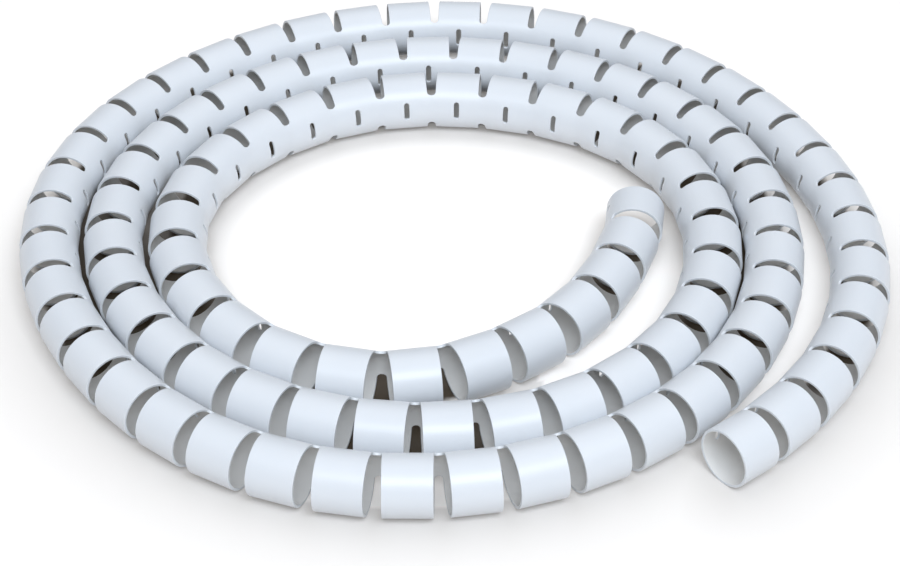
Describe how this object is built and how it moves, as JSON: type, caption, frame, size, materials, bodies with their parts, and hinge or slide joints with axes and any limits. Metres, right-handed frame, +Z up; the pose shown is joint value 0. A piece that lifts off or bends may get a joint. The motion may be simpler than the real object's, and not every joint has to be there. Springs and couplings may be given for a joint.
{
  "type": "spiral cable wrap",
  "caption": "White plastic cable-tidy tube with ribs and slots all along it, stored as a flat spiral coil.",
  "frame": {"origin": "middle of the coil's outline in plan, on the surface it lies on", "axes": "+Z up, across the coil's flat side; the picture looks along +Y from the front, with +X to the right; the coil's outer end is at +X -Y"},
  "size_m": [0.3704, 0.3494, 0.025],
  "materials": {
    "wrap_plastic": "gloss"
  },
  "bodies": {
    "root": {"cable_wrap": "wrap_plastic"}
  },
  "joints": []
}
